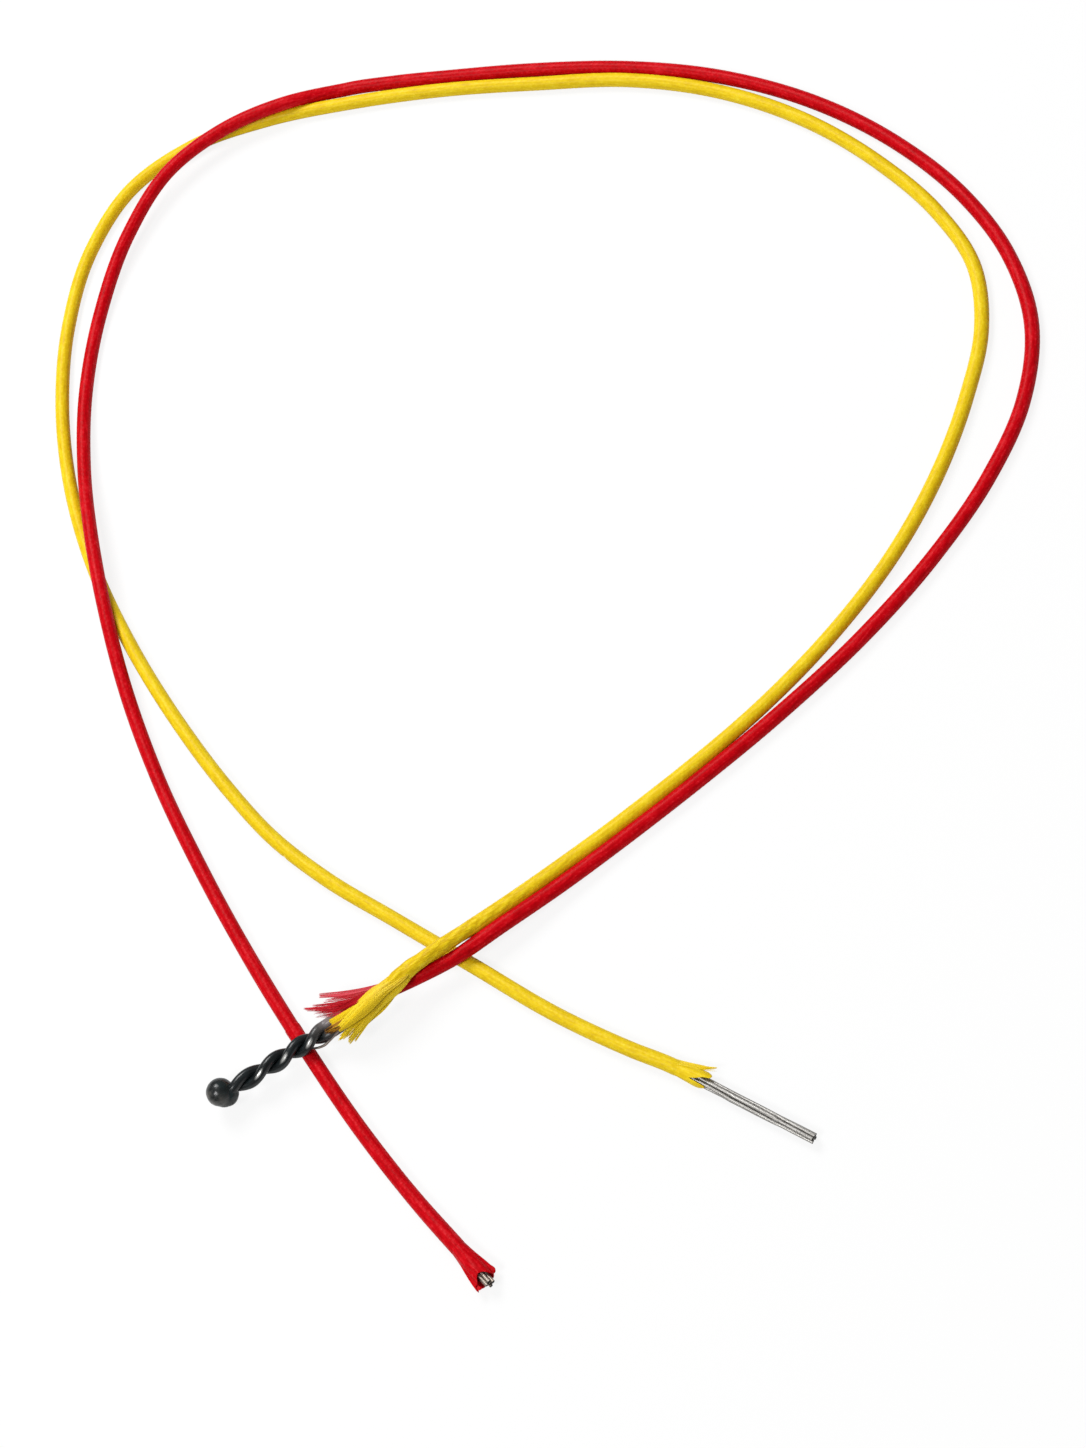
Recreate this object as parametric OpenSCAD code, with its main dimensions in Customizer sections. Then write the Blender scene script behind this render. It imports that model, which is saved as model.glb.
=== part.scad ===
// Bare-bead kiln thermocouple: two dissimilar wires twisted together and welded in a ball at the hot end.
// Each wire runs on as a stranded lead in a braided glass-fibre sleeve, one yellow and one red.
// The probe lies along X with the ball's centre at the origin, and the leads loop away over the bench.

/* [Leads] */
// Outside diameter of a braided sleeve
sleeve_d = 1.3; // [1.2:0.02:1.4]
// Thickness of the braid where it stands open
braid_wall = 0.15; // [0.12:0.01:0.16]
// Distance from the bench up to the probe's axis
probe_height = 2; // [1.95:0.05:2.2]

/* [Welded ball] */
// Diameter of the ball
ball_d = 2.3; // [2.1:0.05:2.6]
// Diameter of the slumped side of the weld, where it wets the legs
slump_d = 1.9; // [1.7:0.05:2.1]
// How far the slump's centre lies from the ball's, towards the legs
slump_reach = 0.6; // [0.4:0.05:0.8]
// How far the slump's centre lies to the right of the ball's
slump_side = 0.7; // [0.5:0.05:0.8]

/* [Twisted legs] */
// Diameter of each bare leg
leg_d = 0.9; // [0.8:0.02:0.96]
// Clearance between the two legs where they lie against each other
leg_gap = 0.03; // [0.02:0.01:0.1]
// How far the twist's axis starts to the right of the ball's centre, before it bends back
twist_side = 0.3; // [0.1:0.05:0.4]
// Where the legs start inside the weld, measured from the ball's centre
leg_root = 0.5; // [0.3:0.05:0.7]
// Where the legs are clear of the weld and start to twist, measured from the ball's centre
twist_start = 1.6; // [1.5:0.05:1.8]
// Where the positive leg lies round the twist as it leaves it for its sleeve: 0 is level on the left
parting_angle = 18.5; // [0:0.5:40]
// Distance between crossings beside the ball
crossing_at_ball = 3.6; // [3.3:0.1:3.9]
// Distance between crossings beside the sleeves
crossing_at_sleeves = 2.2; // [2.1:0.05:2.4]
// Where the legs part, measured from the ball's centre
twist_length = 10.8; // [10.5:0.1:11]
// How far each leg bows sideways, away from the other, between the twist and its sleeve
parting_side = 0.12; // [0.1:0.01:0.2]
// How far the positive leg bows up, and the negative leg down, on the same stretch
parting_lift = 0.3; // [0.25:0.05:0.4]

/* [Frayed sleeve ends] */
// Yarns in each frayed end
yarn_count = 14; // [8:1:16]
// Diameter of a yarn at the sleeve
yarn_root_d = 0.11; // [0.09:0.01:0.12]
// Diameter of a yarn at its loose tip
yarn_tip_d = 0.08; // [0.06:0.01:0.1]
// Diameter of the wire that has worked loose from the twist
loose_wire_d = 0.2; // [0.14:0.02:0.24]

/* [Stripped strands] */
// Diameter of one strand
strand_d = 0.32; // [0.28:0.01:0.32]
// Clearance between strands
strand_gap = 0.01; // [0.01:0.01:0.02]
// Length of the strands beyond the yellow sleeve's round part
yellow_strip_length = 13; // [11:0.5:15]
// Length of the strands beyond the red sleeve's round part
red_strip_length = 3.6; // [3.2:0.1:4.5]
// Angle that the strands turn through over the yellow lead's stripped length
strand_lay_angle = 60; // [0:5:90]

/* [Open sleeve ends] */
// Length of the yellow sleeve's split end
flap_length = 2.7; // [2:0.1:3.2]
// Where the slit between the flaps starts, measured from the sleeve's round part
slit_start = 0.5; // [0.3:0.1:1]
// How far the flaps' tips stand out beyond the sleeve
flap_lift = 0.12; // [0:0.02:0.2]
// Opening angle of the slit between the flaps at their tips
slit_angle = 70; // [40:5:90]
// Length of the red sleeve's flare
flare_length = 3.1; // [2.4:0.1:3.6]
// Outside diameter of the flare's mouth
flare_d = 2.1; // [1.7:0.05:2.2]
// Depth of the nicks in the flare's rim
rim_nick = 0.35; // [0.2:0.05:0.5]
// Width of the nicks at the rim
rim_nick_w = 0.45; // [0.3:0.05:0.6]

/* [Hidden] */

UP = [0, 0, 1];

// Sides and rings of the swept and turned forms
round_sides = 48;
cord_sides = 8;
leg_sides = 16;
strand_sides = 12;
yarn_sides = 5;
yarn_rings = 6;
strand_rings = 6;
run_in_rings = 14;
weld_steps = 12;
flare_steps = 6;
leg_step = 0.4;

// Smallest step along the twist, to take its heading
slight = 0.01;
// Strength of the curve from the twist into a sleeve, as a share of the distance
run_in_pull = 0.6;
// Share of a yarn's length on which it still points out of its sleeve
yarn_pull = 0.4;
// How far the yarns' tips stagger, and the turn from one yarn to the next in that stagger
tip_stagger = 0.3;
stagger_turn = 40;
// Power with which the flare widens towards its mouth
flare_curve = 1.6;
// Where the slits and the nicks lie round the leads' open ends
slit_angles = [25, 205];
nick_angles = [20, 95, 160, 230, 310];
// Length by which a cutting shape passes what it cuts
overrun = 0.1;

sleeve_bore_d = sleeve_d - 2 * braid_wall;
yarn_circle_r = (sleeve_d - braid_wall) / 2;
helix_r = (leg_d + leg_gap) / 2;
strand_pitch = strand_d + strand_gap;

// Centre line of the yellow sleeve, from its frayed to its split end: x, y and height above the bench
yellow_points = [
    [17.6, -0.1, 3.4], [20, 0.5, 3.4], [23.4, 1, 2.95], [27.3, 1.6, 2.15], [31.2, 2.2, 1.45],
    [36.2, 2.9, 0.95], [42.1, 3.7, 0.65], [50, 4.9, 0.65], [58.8, 6.7, 0.65], [67.4, 9.4, 0.65],
    [75.6, 13.1, 0.65], [83.1, 18, 0.65], [89.1, 23.3, 0.65], [93.7, 28.6, 0.65],
    [96.5, 34.9, 0.65], [96.6, 41.9, 0.65], [94.9, 49.7, 0.65], [91.6, 58.1, 0.65],
    [86.2, 66.5, 0.65], [79.2, 73.6, 0.65], [71, 79.3, 0.65], [62.6, 84.7, 0.65],
    [53.8, 89.4, 0.65], [45.6, 93, 0.65], [37.8, 95, 0.65], [29.9, 94.3, 0.65],
    [23.2, 90, 0.65], [17.6, 83, 0.65], [13.6, 75, 0.65], [10.7, 65.4, 0.65],
    [9.4, 55.5, 0.65], [9.5, 45.5, 0.65], [10.5, 35.6, 0.65], [12.1, 26.7, 0.65],
    [13.9, 20, 0.65], [16.7, 13.6, 0.65], [20.7, 6.6, 0.65], [25.2, -1.2, 0.65],
    [29.7, -9, 0.65], [34.4, -15.1, 0.8], [37, -19.1, 0.8]];

// Centre line of the red sleeve, from its frayed to its flared end: x, y and height above the bench
red_points = [
    [17.1, 0.4, 2], [20.1, 0.1, 2], [24.1, -0.1, 2], [29, 0.4, 1.75], [34.9, 1.2, 1.05],
    [41.8, 2.2, 0.7], [49.8, 3.4, 0.65], [59.6, 5.2, 0.65], [69.3, 7.6, 0.65], [78.7, 11, 0.65],
    [86.7, 15.1, 0.65], [93, 19.9, 0.65], [97.7, 26.4, 0.65], [99.7, 34.1, 0.65],
    [99.5, 42, 0.65], [97.3, 50.8, 0.65], [93.1, 59.8, 0.65], [87.2, 67.9, 0.65],
    [80, 74.8, 0.65], [71.9, 80.7, 0.65], [64.3, 85.5, 0.65], [59.1, 88.6, 0.65],
    [53.8, 91.3, 0.7], [48.1, 92.6, 1.95], [41.2, 93.7, 2], [34.4, 92.7, 2],
    [27.5, 88.6, 1.5], [21.2, 82.3, 0.75], [16.3, 74.7, 0.7], [12.9, 66.4, 1.15],
    [10.9, 58.8, 1.95], [9.1, 50.9, 2], [7.4, 42.2, 1.15], [6.5, 32.2, 0.65],
    [6.6, 21.2, 0.65], [7.3, 10.2, 0.65], [8.4, 0.3, 0.65], [9.9, -9.6, 0.65],
    [11.6, -17.4, 0.65], [13.4, -23.8, 0.95]];

function laid(points) = [for (p = points) p - [0, 0, probe_height]];
yellow_route = laid(yellow_points);
red_route = laid(red_points);

// Way of the loose wire, from under the twist up to the yellow frayed end: x, and turn round the twist
loose_wire_turns = [[9.3, 211], [9.8, 203], [10.4, 191], [11, 177], [11.6, 163], [12.1, 148]];
loose_wire_r = helix_r + (leg_d + loose_wire_d) / 2 + leg_gap;

function unit(v) = v / norm(v);
function last(list) = list[len(list) - 1];
function clamped(list, i) = list[min(max(i, 0), len(list) - 1)];
function heading(path, i) = unit(clamped(path, i + 1) - clamped(path, i - 1));
function start_heading(path) = heading(path, 0);
function end_heading(path) = heading(path, len(path) - 1);

// One ring of a sweep: a polygon square to the heading, its first corner out to the side
function ring(centre, toward, half_size, sides) =
    let (side = unit(cross(toward, UP)), over = cross(side, toward))
    [for (k = [0:sides - 1])
        centre + half_size * (cos(360 * k / sides) * side + sin(360 * k / sides) * over)];

// Closed solid swept along a path, with one radius for each point of it
module sweep(path, radii, sides, first_heading = undef, final_heading = undef) {
    rows = len(path);
    rings = [for (i = [0:rows - 1])
        let (toward = i == 0 && !is_undef(first_heading) ? first_heading
                    : i == rows - 1 && !is_undef(final_heading) ? final_heading
                    : heading(path, i))
        each ring(path[i], toward, radii[i], sides)];
    walls = [for (i = [0:rows - 2], k = [0:sides - 1])
        let (a = i * sides + k, b = i * sides + (k + 1) % sides)
        each [[a, b, b + sides], [a, b + sides, a + sides]]];
    first_cap = [[for (k = [0:sides - 1]) sides - 1 - k]];
    final_cap = [[for (k = [0:sides - 1]) (rows - 1) * sides + k]];
    polyhedron(points = rings, faces = concat(first_cap, walls, final_cap), convexity = 10);
}

function even(path, r) = [for (p = path) r];

// Frame at a lead's open end: X runs out of the sleeve, Z stays nearest to upright
module at_end(route) {
    out = end_heading(route);
    side = unit(cross(UP, out));
    over = cross(out, side);
    seat = last(route);
    multmatrix([[out.x, side.x, over.x, seat.x],
                [out.y, side.y, over.y, seat.y],
                [out.z, side.z, over.z, seat.z],
                [0, 0, 0, 1]])
        children();
}

// Crossings passed between the ball's centre and x, as the twist tightens towards the sleeves
function crossings(x) =
    x / crossing_at_ball
    + (1 / crossing_at_sleeves - 1 / crossing_at_ball) * x * x / (2 * twist_length);

// The twist is left-handed and counted back from where the legs part, and the legs lie opposite
function leg_angle(x, negative) =
    parting_angle + (negative ? 180 : 0) + 180 * (crossings(twist_length) - crossings(x));
function twist_axis(x) = [x, -twist_side * (1 - pow(x / twist_length, 2)), 0];
function leg_point(x, negative) =
    twist_axis(x) + helix_r * [0, cos(leg_angle(x, negative)), sin(leg_angle(x, negative))];

function twisted_stretch(negative) =
    let (steps = ceil((twist_length - twist_start) / leg_step))
    [for (i = [0:steps]) leg_point(twist_start + (twist_length - twist_start) * i / steps, negative)];

// The legs run straight inside the weld, on the line on which their twist starts
function root_heading(negative) =
    unit(leg_point(twist_start + slight, negative) - leg_point(twist_start, negative));
function root_point(negative) =
    let (along = root_heading(negative))
    leg_point(twist_start, negative) - (twist_start - leg_root) / along.x * along;

// Smooth way from the twist into a sleeve, bowed aside so that the legs clear each other
function run_in(start, toward, finish, into, bow) =
    let (pull = run_in_pull * norm(finish - start))
    [for (i = [1:run_in_rings])
        let (t = i / run_in_rings,
             keep = 2 * t * t * t - 3 * t * t + 1,
             leave = t * t * t - 2 * t * t + t,
             arrive = t * t * t - t * t)
        keep * start + leave * pull * toward + (1 - keep) * finish + arrive * pull * into
        + bow * pow(sin(180 * t), 2)];

module leg(negative, route, bow) {
    twisted = twisted_stretch(negative);
    toward = unit(leg_point(twist_length, negative) - leg_point(twist_length - slight, negative));
    into = start_heading(route);
    path = concat([root_point(negative)], twisted,
                  run_in(last(twisted), toward, route[0], into, bow));
    sweep(path, even(path, leg_d / 2), leg_sides,
          first_heading = root_heading(negative), final_heading = into);
}

module positive_leg() {
    color("#2b3033") leg(false, yellow_route, [0, parting_side, parting_lift]);
}

module negative_leg() {
    color("#34393c") leg(true, red_route, [0, -parting_side, -parting_lift]);
}

// Ball and slump as one turned form, its outline tangent to both, with a socket for each leg's end
module weld_bead() {
    reach = [slump_reach, -slump_side, 0];
    apart = norm(reach);
    tangent_angle = acos((ball_d - slump_d) / 2 / apart);
    ball_arc = [for (i = [0:weld_steps])
        let (a = 180 + (tangent_angle - 180) * i / weld_steps) ball_d / 2 * [sin(a), cos(a)]];
    slump_arc = [for (i = [0:weld_steps])
        let (a = tangent_angle * (1 - i / weld_steps)) slump_d / 2 * [sin(a), cos(a)] + [0, apart]];
    color("#30363a") difference() {
        rotate([0, 0, atan2(reach.y, reach.x)]) rotate([0, 90, 0])
            rotate_extrude($fn = round_sides) polygon(concat(ball_arc, slump_arc));
        leg_socket(false);
        leg_socket(true);
    }
}

// Round socket that the weld closes on a leg
module leg_socket(negative) {
    along = root_heading(negative);
    translate(root_point(negative)) rotate([0, acos(along.z), atan2(along.y, along.x)])
        cylinder(h = ball_d, d = leg_d, $fn = round_sides);
}

module loose_hot_wire() {
    path = [for (w = loose_wire_turns) twist_axis(w.x) + loose_wire_r * [0, cos(w.y), sin(w.y)]];
    color("#6b5a48") sweep(path, even(path, loose_wire_d / 2), cord_sides);
}

module yellow_sleeve() {
    color("#e8c61a") sweep(yellow_route, even(yellow_route, sleeve_d / 2), cord_sides);
}

module red_sleeve() {
    color("#c80014") sweep(red_route, even(red_route, sleeve_d / 2), cord_sides);
}

// Yarns of a frayed sleeve: they leave its rim over an arc, rise by the lift and spread to a row of tips
module frayed_end(route, arc, lift, tips) {
    back = -start_heading(route);
    side = unit(cross(back, UP));
    over = cross(side, back);
    for (i = [0:yarn_count - 1]) {
        share = i / (yarn_count - 1);
        angle = arc[0] + (arc[1] - arc[0]) * share;
        root = route[0] + yarn_circle_r * (cos(angle) * side + sin(angle) * over);
        place = share * (len(tips) - 1);
        before = min(floor(place), len(tips) - 2);
        row_point = tips[before] + (tips[before + 1] - tips[before]) * (place - before);
        tip = row_point + tip_stagger * sin(stagger_turn * i) * back;
        pull = root + yarn_pull * norm(tip - root) * back + lift * UP;
        path = [for (k = [0:yarn_rings - 1])
            let (t = k / (yarn_rings - 1))
            pow(1 - t, 2) * root + 2 * t * (1 - t) * pull + t * t * tip];
        radii = [for (k = [0:yarn_rings - 1])
            (yarn_root_d + (yarn_tip_d - yarn_root_d) * k / (yarn_rings - 1)) / 2];
        sweep(path, radii, yarn_sides, first_heading = back);
    }
}

// The yellow yarns hang over the twist, from the sleeve's left side over its top to its right side
module yellow_frayed_end() {
    tips = [[11.9, 0.5, 0.95], [11.5, -0.5, 0.9], [11.6, -1.4, 0.7], [12.3, -2.2, 0.5], [13.8, -2.4, 0.5]];
    color("#e2bd18") frayed_end(yellow_route, [15, 185], 0.45, tips);
}

// The red yarns point away to the left of the twist
module red_frayed_end() {
    tips = [[12.3, 3.9, -1.2], [10.6, 3.3, 0], [9.6, 2.2, 0.2], [10.9, 1.7, 1], [11.8, 1.3, 0.1]];
    color("#c00c1c") frayed_end(red_route, [-55, 115], 0, tips);
}

// Two flaps left by a slit up each side of the yellow sleeve's end
module yellow_split_end() {
    tip_r = sleeve_d / 2 + flap_lift;
    slit_end = flap_length + overrun;
    slit_half = tip_r * tan(slit_angle / 2);
    color("#e6c21c") at_end(yellow_route) difference() {
        rotate([0, 90, 0]) rotate_extrude($fn = round_sides)
            polygon([[sleeve_bore_d / 2, 0], [sleeve_d / 2, 0],
                     [tip_r, flap_length], [tip_r - braid_wall, flap_length]]);
        for (angle = slit_angles)
            rotate([angle, 0, 0]) linear_extrude(tip_r + overrun)
                polygon([[slit_start, 0], [slit_end, -slit_half], [slit_end, slit_half]]);
    }
}

// Trumpet-shaped mouth of the red sleeve, its rim nicked all round
module red_flared_end() {
    growth = (flare_d - sleeve_d) / 2;
    outer = [for (i = [0:flare_steps])
        let (t = i / flare_steps) [sleeve_d / 2 + growth * pow(t, flare_curve), flare_length * t]];
    inner = [for (i = [flare_steps:-1:0]) outer[i] - [braid_wall, 0]];
    color("#c4081a") at_end(red_route) difference() {
        rotate([0, 90, 0]) rotate_extrude($fn = round_sides) polygon(concat(outer, inner));
        for (angle = nick_angles)
            rotate([angle, 0, 0]) linear_extrude(flare_d / 2 + overrun)
                polygon([[flare_length - rim_nick, 0],
                         [flare_length + overrun, -rim_nick_w / 2],
                         [flare_length + overrun, rim_nick_w / 2]]);
    }
}

// One of seven strands: the first runs down the middle, six lie round it with a slight lay
module strand(route, number, length) {
    out = end_heading(route);
    side = unit(cross(UP, out));
    over = cross(out, side);
    lay_r = number == 1 ? 0 : strand_pitch;
    path = [for (i = [0:strand_rings - 1])
        let (s = length * i / (strand_rings - 1),
             angle = 60 * number + strand_lay_angle * s / yellow_strip_length)
        last(route) + s * out + lay_r * (cos(angle) * side + sin(angle) * over)];
    sweep(path, even(path, strand_d / 2), strand_sides, first_heading = out, final_heading = out);
}

module positive_strand(number) {
    color("#c9c7c2") strand(yellow_route, number, yellow_strip_length);
}

module negative_strand(number) {
    color("#bdb4a6") strand(red_route, number, red_strip_length);
}

weld_bead();
positive_leg();
negative_leg();
loose_hot_wire();
yellow_sleeve();
red_sleeve();
yellow_frayed_end();
red_frayed_end();
yellow_split_end();
red_flared_end();
positive_strand(1);  // positive_strand_1
positive_strand(2);  // positive_strand_2
positive_strand(3);  // positive_strand_3
positive_strand(4);  // positive_strand_4
positive_strand(5);  // positive_strand_5
positive_strand(6);  // positive_strand_6
positive_strand(7);  // positive_strand_7
negative_strand(1);  // negative_strand_1
negative_strand(2);  // negative_strand_2
negative_strand(3);  // negative_strand_3
negative_strand(4);  // negative_strand_4
negative_strand(5);  // negative_strand_5
negative_strand(6);  // negative_strand_6
negative_strand(7);  // negative_strand_7
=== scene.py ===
# %% [markdown]
# # A bare-bead kiln thermocouple, dressed for its portrait
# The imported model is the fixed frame: its solids say where every piece lies, in metres, with the
# welded ball at the origin and the bench 2 mm below it. Each cell below adds or dresses one piece.
# Lengths are written in millimetres, as a maker would measure them, and turned to metres once.

# %% Load the frame
import math

import bpy
import numpy as np
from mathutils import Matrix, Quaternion, Vector


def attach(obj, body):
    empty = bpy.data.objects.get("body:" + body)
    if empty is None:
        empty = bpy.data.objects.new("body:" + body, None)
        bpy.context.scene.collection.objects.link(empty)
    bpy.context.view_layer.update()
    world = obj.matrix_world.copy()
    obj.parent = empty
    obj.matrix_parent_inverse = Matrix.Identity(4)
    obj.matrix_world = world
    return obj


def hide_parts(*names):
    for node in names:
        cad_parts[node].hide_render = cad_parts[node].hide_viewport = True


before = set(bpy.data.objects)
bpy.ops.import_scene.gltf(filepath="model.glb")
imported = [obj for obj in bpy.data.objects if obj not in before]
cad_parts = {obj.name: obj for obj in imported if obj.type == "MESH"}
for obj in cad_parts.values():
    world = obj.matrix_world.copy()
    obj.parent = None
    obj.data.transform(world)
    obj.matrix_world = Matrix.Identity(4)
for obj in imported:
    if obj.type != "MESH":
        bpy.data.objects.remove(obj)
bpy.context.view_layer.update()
MM = 0.001
BENCH = -2.0

# %% [markdown]
# ## The camera
# The picture looks down on the bench from the cold ends' side, about 63 degrees above it. It was
# settled from the growth of the leads' width across the picture, so its place is given as found.

# %% Camera
CAMERA_PLACE = Vector((53.35, -93.82, 215.83)) * MM
CAMERA_AIM = Vector((40.775, 16.454, -2.0)) * MM
CAMERA_ROLL = math.radians(-35.96)
LENS, SENSOR = 66.67, 36


def deselect():
    """An operator acts on all that is selected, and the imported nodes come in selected."""
    bpy.ops.object.select_all(action="DESELECT")


deselect()
bpy.ops.object.camera_add(location=CAMERA_PLACE)
camera = bpy.context.object
camera.name = "portrait_camera"
camera.rotation_mode = "QUATERNION"
towards = (CAMERA_AIM - CAMERA_PLACE).to_track_quat("-Z", "Y")
camera.rotation_quaternion = towards @ Quaternion((0, 0, 1), CAMERA_ROLL)
camera.data.lens = LENS
camera.data.sensor_width = SENSOR
camera.data.clip_start = 0.005
camera.data.clip_end = 10
bpy.context.scene.camera = camera

PICTURE_W, PICTURE_H = 1086, 1448
BACK = (CAMERA_PLACE - CAMERA_AIM).normalized()
RIGHT = camera.rotation_quaternion @ Vector((1, 0, 0))
UP = camera.rotation_quaternion @ Vector((0, 1, 0))


def at(x, y, height):
    """The point, in mm, that the picture shows at pixel x, y, if it lies that high above the bench."""
    focal = LENS / SENSOR * PICTURE_H
    ray = RIGHT * ((x - PICTURE_W / 2) / focal) + UP * ((PICTURE_H / 2 - y) / focal) - BACK
    reach = ((height + BENCH) * MM - CAMERA_PLACE.z) / ray.z
    return np.array(CAMERA_PLACE + ray * reach) / MM


print("camera at", tuple(round(v, 4) for v in camera.location), "ball at", at(218.8, 1092.4, 2).round(2))

# %% [markdown]
# ## Node helpers
# Materials are built from nodes in code. `new_finish` starts a material, and the other helpers work
# in the node tree of the one that was started last: `put` adds a node, `fill` wires or sets sockets,
# and `calc`, `times` and `scaled` add Math nodes, so that a formula reads nearly as on paper. A
# colour is written as six hexadecimal digits, as a paint program shows it.

# %% Node helpers
def fill(node, inputs):
    """Wires each named input to a socket, or sets it to a value."""
    for key, value in inputs.items():
        if isinstance(value, bpy.types.NodeSocket):
            tree.links.new(value, node.inputs[key])
        else:
            node.inputs[key].default_value = value


def put(kind, inputs=None, out=0, **settings):
    made = tree.nodes.new("ShaderNode" + kind)
    for name, value in settings.items():
        setattr(made, name, value)
    fill(made, inputs or {})
    return made.outputs[out]


def calc(operation, a, b=0.0, c=0.0):
    return put("Math", {0: a, 1: b, 2: c}, operation=operation)


def times(a, b):
    return calc("MULTIPLY", a, b)


def scaled(a, by, plus):
    return calc("MULTIPLY_ADD", a, by, plus)


def object_coords():
    return put("TexCoord", out=3)


def noise(place, scale, detail=2.0, roughness=0.5):
    return put("TexNoise", {"Vector": place, "Scale": scale, "Detail": detail, "Roughness": roughness})


def remap(value, nothing, full, most=1.0):
    """0 where the value is at nothing, most where it is at full, and no further."""
    return put("MapRange", {0: value, 1: nothing, 2: full, 4: most})


def relief_of(height, strength, depth):
    """A bump whose depth is given in millimetres."""
    return put("Bump", {"Strength": strength, "Distance": depth * MM, "Height": height})


def hex_colour(text):
    """A colour as it is seen on screen, turned to the linear light that shaders count in."""
    parts = [int(text[i:i + 2], 16) / 255 for i in (0, 2, 4)]
    return (*(p / 12.92 if p <= 0.04045 else ((p + 0.055) / 1.055) ** 2.4 for p in parts), 1)


def ramp(factor, stops):
    made = tree.nodes.new("ShaderNodeValToRGB")
    tree.links.new(factor, made.inputs[0])
    keys = made.color_ramp.elements
    while len(keys) < len(stops):
        keys.new(0.5)
    for key, (place, tone) in zip(keys, stops):
        key.position = place
        key.color = hex_colour(tone)
    return made.outputs[0]


def laid_over(below, share, tone):
    return put("Mix", {0: share, 6: below, 7: hex_colour(tone)}, out=2, data_type="RGBA")


def new_finish(name):
    """Starts a material, and gives it with its main shader."""
    global tree
    finish = bpy.data.materials.new(name)
    finish.use_nodes = True
    tree = finish.node_tree
    print("finish", name)
    return finish, tree.nodes["Principled BSDF"]


def dress(piece, finish):
    """Gives a piece its one material."""
    piece.data.materials.clear()
    piece.data.materials.append(finish)

# %% [markdown]
# ## The two leads
# Each lead is a stranded wire in a sleeve braided from glass yarn: six yarns wind one way and six
# the other, each passing over and under the next. A curve with a bevel would give the round shape
# but not the weave, so a lead is a mesh tube whose rings step along the route in time with the
# braid. Every crossing of two yarns then stands a little proud, and the texture coordinates count
# yarns: u along the lead and v round it, which the finish uses to draw the filaments.

# %% Routes of the leads: x, y and, where they don't lie on the bench, height above it
# They are those of the part's source, but for two points before the split end, where the line is
# 0.4 mm nearer the picture's here. The last short step keeps the heading of the bare strands.
SLEEVE_D = 1.3
YELLOW_ROUTE = [(17.6, -0.1, 3.4), (20, 0.5, 3.4), (23.4, 1, 2.95), (27.3, 1.6, 2.15), (31.2, 2.2, 1.45),
    (36.2, 2.9, 0.95), (42.1, 3.7), (50, 4.9), (58.8, 6.7), (67.4, 9.4), (75.6, 13.1), (83.1, 18),
    (89.1, 23.3), (93.7, 28.6), (96.5, 34.9), (96.6, 41.9), (94.9, 49.7), (91.6, 58.1), (86.2, 66.5),
    (79.2, 73.6), (71, 79.3), (62.6, 84.7), (53.8, 89.4), (45.6, 93), (37.8, 95), (29.9, 94.3), (23.2, 90),
    (17.6, 83), (13.6, 75), (10.7, 65.4), (9.4, 55.5), (9.5, 45.5), (10.5, 35.6), (12.1, 26.7), (13.9, 20),
    (16.7, 13.6), (20.7, 6.6), (25.2, -1.2), (29.7, -9), (34.1, -15.3, 0.8), (36.61, -18.5, 0.8),
    (37, -19.1, 0.8)]
RED_ROUTE = [(17.1, 0.4, 2), (20.1, 0.1, 2), (24.1, -0.1, 2), (29, 0.4, 1.75), (34.9, 1.2, 1.05),
    (41.8, 2.2, 0.7), (49.8, 3.4), (59.6, 5.2), (69.3, 7.6), (78.7, 11), (86.7, 15.1), (93, 19.9),
    (97.7, 26.4), (99.7, 34.1), (99.5, 42), (97.3, 50.8), (93.1, 59.8), (87.2, 67.9), (80, 74.8),
    (71.9, 80.7), (64.3, 85.5), (59.1, 88.6), (53.8, 91.3, 0.7), (48.1, 92.6, 1.95), (41.2, 93.7, 2),
    (34.4, 92.7, 2), (27.5, 88.6, 1.5), (21.2, 82.3, 0.75), (16.3, 74.7, 0.7), (12.9, 66.4, 1.15),
    (10.9, 58.8, 1.95), (9.1, 50.9, 2), (7.4, 42.2, 1.15), (6.5, 32.2), (6.6, 21.2), (7.3, 10.2),
    (8.4, 0.3), (9.9, -9.6), (11.6, -17.4), (13.4, -23.8, 0.95)]
YELLOW_POINTS, RED_POINTS = ([(*place, SLEEVE_D / 2)[:3] for place in route]
                             for route in (YELLOW_ROUTE, RED_ROUTE))
ROUTE_STEP = 0.02       # mm between the points that the curve is first worked out at


def run_along(points):
    """How far along a line each of its points lies."""
    return np.concatenate([[0], np.cumsum(np.linalg.norm(np.diff(points, axis=0), axis=1))])


def bend(t, reach, start, leaving, finish, arriving):
    """From start to finish as t goes from 0 to 1, with the slopes on leaving and on arriving."""
    return ((2 * t**3 - 3 * t**2 + 1) * start + (t**3 - 2 * t**2 + t) * reach * leaving
            + (3 * t**2 - 2 * t**3) * finish + (t**3 - t**2) * reach * arriving)


def smooth_line(points, step):
    """Points every `step` mm along a smooth curve through the route's points, and its length."""
    points = np.array(points, float) + (0, 0, BENCH)
    slope = np.gradient(points, run_along(points), axis=0)
    fine = []
    for i, chord in enumerate(np.linalg.norm(np.diff(points, axis=0), axis=1)):
        t = np.linspace(0, 1, max(int(chord / ROUTE_STEP), 4), endpoint=False)[:, None]
        fine.append(bend(t, chord, points[i], slope[i], points[i + 1], slope[i + 1]))
    fine = np.vstack(fine + [points[-1:]])
    fine[:, 2] = np.maximum(fine[:, 2], BENCH + SLEEVE_D / 2)
    run = run_along(fine)
    wanted = np.linspace(0, run[-1], int(round(run[-1] / step)) + 1)
    return np.column_stack([np.interp(wanted, run, fine[:, k]) for k in range(3)]), run[-1]


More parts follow.
